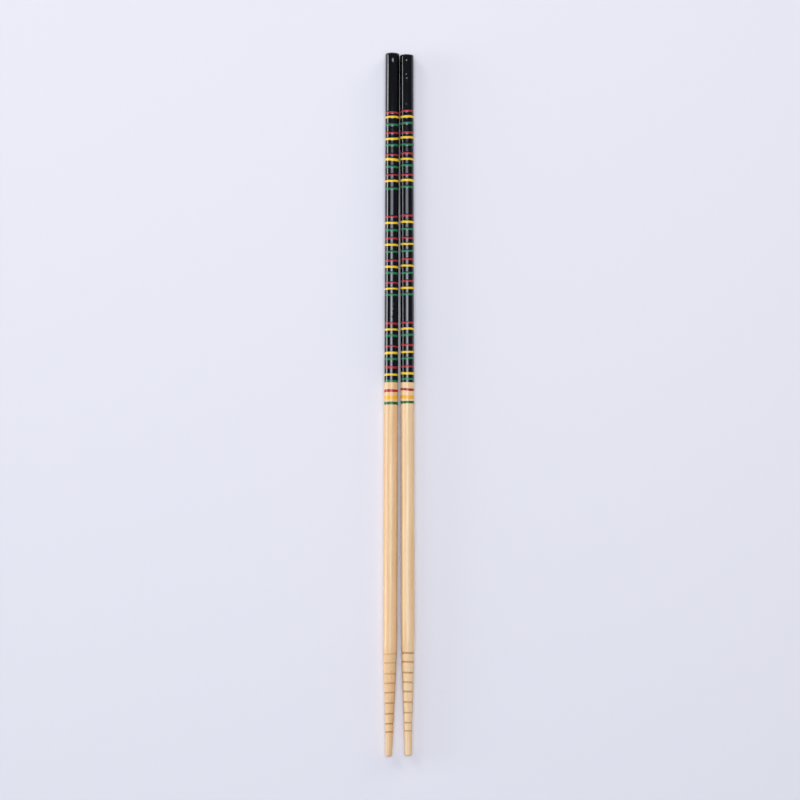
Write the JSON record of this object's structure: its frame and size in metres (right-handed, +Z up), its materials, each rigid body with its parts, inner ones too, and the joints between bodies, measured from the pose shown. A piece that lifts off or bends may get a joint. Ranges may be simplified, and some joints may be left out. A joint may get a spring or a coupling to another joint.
{
  "type": "pair of cooking chopsticks",
  "caption": "Pair of long bamboo cooking chopsticks with black lacquered, ringed handles and fine grip grooves cut round the tapered tips.",
  "frame": {"origin": "on the surface that the sticks lie on, halfway along the left stick and midway between the heads", "axes": "+Z up, +Y from the tips towards the heads, +X from the left stick to the right one"},
  "size_m": [0.0147, 0.33, 0.0066],
  "materials": {
    "warm_bamboo": "turned bamboo under clear satin varnish, with a glossy black lacquered handle",
    "pale_bamboo": "turned bamboo under clear satin varnish, with a glossy black lacquered handle"
  },
  "bodies": {
    "root": {"left_chopstick": "warm_bamboo", "right_chopstick": "pale_bamboo"}
  },
  "joints": []
}
